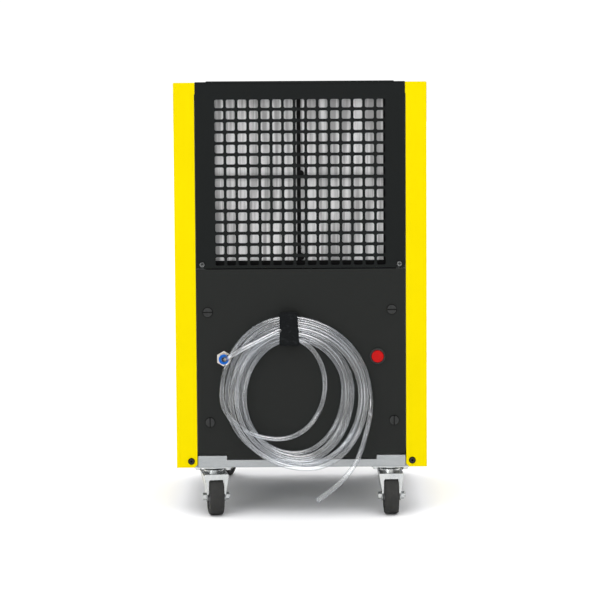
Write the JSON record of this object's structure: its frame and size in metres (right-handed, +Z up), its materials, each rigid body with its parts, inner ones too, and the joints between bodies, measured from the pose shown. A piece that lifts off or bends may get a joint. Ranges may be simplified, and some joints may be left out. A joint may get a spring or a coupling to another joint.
{
  "type": "mobile dehumidifier",
  "caption": "Mobile condensing dehumidifier on swivel casters, with a gridded intake, louvred outlet, condensate pump button and coiled clear drain hose.",
  "frame": {"origin": "centre of the cabinet's footprint, on the floor under the wheels", "axes": "+Z up; -Y out of the intake side with the filter cover and drain hose; +Y out of the air outlet; +X to the right when looking at the intake side"},
  "size_m": [0.5025, 0.5569, 0.8675],
  "materials": {
    "yellow_paint": "satin powder coat",
    "black_paint": "matt fine-textured powder coat",
    "galvanised_steel": "galvanised sheet",
    "zinc_plated_steel": "bright zinc plate",
    "nickel_plate": "nickel-plated brass",
    "black_plastic": "moulded",
    "grey_plastic": "moulded",
    "blue_plastic": "moulded",
    "red_plastic": "translucent lens",
    "white_plastic": "moulded",
    "clear_hose": "clear soft vinyl",
    "black_fabric": "hook-and-loop pile",
    "filter_mesh": "fine knitted mesh",
    "filter_frame": "dark anodised",
    "fin_aluminium": "thin fin stock",
    "copper_tube": "drawn copper",
    "compressor_paint": "gloss black",
    "motor_aluminium": "die cast",
    "rubber_tyre": "solid rubber",
    "rubber": "moulded",
    "plate_aluminium": "satin anodised"
  },
  "bodies": {
    "cabinet": {"chassis_tray": "galvanised_steel", "inner_frame": "galvanised_steel", "mid_deck": "galvanised_steel", "left_side_cover": "yellow_paint", "right_side_cover": "yellow_paint", "side_plate": "plate_aluminium", "top_cover": "black_paint", "top_plate": "black_paint", "filter_cover": "black_paint", "air_filter_frame": "filter_frame", "air_filter_mesh": "filter_mesh", "rear_service_panel": "black_paint", "black_screws": "compressor_paint", "hose_fitting": "nickel_plate", "pump_button_bezel": "black_plastic", "hose_strap": "black_fabric", "drain_hose_lead": "clear_hose", "drain_hose_coil": "clear_hose", "drain_hose_tail": "clear_hose", "evaporator_fins": "fin_aluminium", "evaporator_tubes": "copper_tube", "condenser_fins": "fin_aluminium", "condenser_tubes": "copper_tube", "drip_tray": "galvanised_steel", "fan_shroud": "galvanised_steel", "fan_motor": "motor_aluminium", "condensate_tank": "white_plastic", "condensate_pump": "grey_plastic", "internal_hoses": "rubber", "compressor_shell": "compressor_paint", "compressor_feet": "rubber", "refrigerant_lines": "copper_tube", "filter_drier": "copper_tube", "electrical_box": "galvanised_steel", "front_panel": "black_paint", "outlet_grille": "black_plastic", "control_panel": "black_plastic", "cable_gland": "black_plastic", "caster_plates": "zinc_plated_steel"},
    "pump_button": {"pump_button_cap": "red_plastic"},
    "release_ring": {"fitting_release_ring": "blue_plastic"},
    "quarter_turn_upper_left": {"quarter_turn_upper_left": "black_plastic"},
    "quarter_turn_upper_right": {"quarter_turn_upper_right": "black_plastic"},
    "quarter_turn_lower_left": {"quarter_turn_lower_left": "black_plastic"},
    "quarter_turn_lower_right": {"quarter_turn_lower_right": "black_plastic"},
    "fan": {"fan_blades": "black_plastic"},
    "power_switch": {"power_switch_rocker": "red_plastic"},
    "humidistat": {"humidistat_knob": "black_plastic"},
    "fork_rear_left": {"caster_fork_rear_left": "zinc_plated_steel"},
    "wheel_rear_left": {"caster_hub_rear_left": "grey_plastic", "caster_tyre_rear_left": "rubber_tyre"},
    "fork_rear_right": {"caster_fork_rear_right": "zinc_plated_steel"},
    "wheel_rear_right": {"caster_hub_rear_right": "grey_plastic", "caster_tyre_rear_right": "rubber_tyre"},
    "fork_front_left": {"caster_fork_front_left": "zinc_plated_steel"},
    "wheel_front_left": {"caster_hub_front_left": "grey_plastic", "caster_tyre_front_left": "rubber_tyre"},
    "fork_front_right": {"caster_fork_front_right": "zinc_plated_steel"},
    "wheel_front_right": {"caster_hub_front_right": "grey_plastic", "caster_tyre_front_right": "rubber_tyre"}
  },
  "joints": [
    {"name": "pump_button_press", "type": "slide", "parent": "cabinet", "child": "pump_button", "axis": [0, 1, 0], "range_m": [0, 0.0025], "stiffness_N_per_m": 600},
    {"name": "release_ring_press", "type": "slide", "parent": "cabinet", "child": "release_ring", "axis": [0, 1, 0], "range_m": [0, 0.0015], "stiffness_N_per_m": 600},
    {"name": "quarter_turn_upper_left_turn", "type": "hinge", "parent": "cabinet", "child": "quarter_turn_upper_left", "pos_m": [-0.1858, -0.235, 0.4096], "axis": [0, 1, 0], "range_deg": [0, 90]},
    {"name": "quarter_turn_upper_right_turn", "type": "hinge", "parent": "cabinet", "child": "quarter_turn_upper_right", "pos_m": [0.1806, -0.235, 0.4134], "axis": [0, 1, 0], "range_deg": [0, 90]},
    {"name": "quarter_turn_lower_left_turn", "type": "hinge", "parent": "cabinet", "child": "quarter_turn_lower_left", "pos_m": [-0.1828, -0.235, 0.1884], "axis": [0, 1, 0], "range_deg": [-90, 0]},
    {"name": "quarter_turn_lower_right_turn", "type": "hinge", "parent": "cabinet", "child": "quarter_turn_lower_right", "pos_m": [0.185, -0.235, 0.191], "axis": [0, 1, 0], "range_deg": [-90, 0]},
    {"name": "fan_spin", "type": "hinge", "parent": "cabinet", "child": "fan", "pos_m": [0, 0.005, 0.668], "axis": [0, 1, 0], "continuous": true},
    {"name": "power_switch_rock", "type": "hinge", "parent": "cabinet", "child": "power_switch", "pos_m": [0.078, 0.2345, 0.818], "axis": [1, 0, 0], "range_deg": [-12, 0]},
    {"name": "humidistat_turn", "type": "hinge", "parent": "cabinet", "child": "humidistat", "pos_m": [-0.072, 0.239, 0.818], "axis": [0, 1, 0], "range_deg": [-135, 135]},
    {"name": "swivel_rear_left", "type": "hinge", "parent": "cabinet", "child": "fork_rear_left", "pos_m": [-0.178, -0.197, 0.085], "axis": [0, 0, 1], "continuous": true},
    {"name": "roll_rear_left", "type": "hinge", "parent": "fork_rear_left", "child": "wheel_rear_left", "pos_m": [-0.17362, -0.22465, 0.0375], "axis": [0.9877, 0.1564, 0], "continuous": true},
    {"name": "swivel_rear_right", "type": "hinge", "parent": "cabinet", "child": "fork_rear_right", "pos_m": [0.178, -0.197, 0.085], "axis": [0, 0, 1], "continuous": true},
    {"name": "roll_rear_right", "type": "hinge", "parent": "fork_rear_right", "child": "wheel_rear_right", "pos_m": [0.17873, -0.22499, 0.0375], "axis": [0.9997, 0.0262, 0], "continuous": true},
    {"name": "swivel_front_left", "type": "hinge", "parent": "cabinet", "child": "fork_front_left", "pos_m": [-0.178, 0.197, 0.085], "axis": [0, 0, 1], "continuous": true},
    {"name": "roll_front_left", "type": "hinge", "parent": "fork_front_left", "child": "wheel_front_left", "pos_m": [-0.16842, 0.22331, 0.0375], "axis": [-0.9397, 0.342, 0], "continuous": true},
    {"name": "swivel_front_right", "type": "hinge", "parent": "cabinet", "child": "fork_front_right", "pos_m": [0.178, 0.197, 0.085], "axis": [0, 0, 1], "continuous": true},
    {"name": "roll_front_right", "type": "hinge", "parent": "fork_front_right", "child": "wheel_front_right", "pos_m": [0.1978, 0.2168, 0.0375], "axis": [-0.7071, 0.7071, 0], "continuous": true}
  ]
}
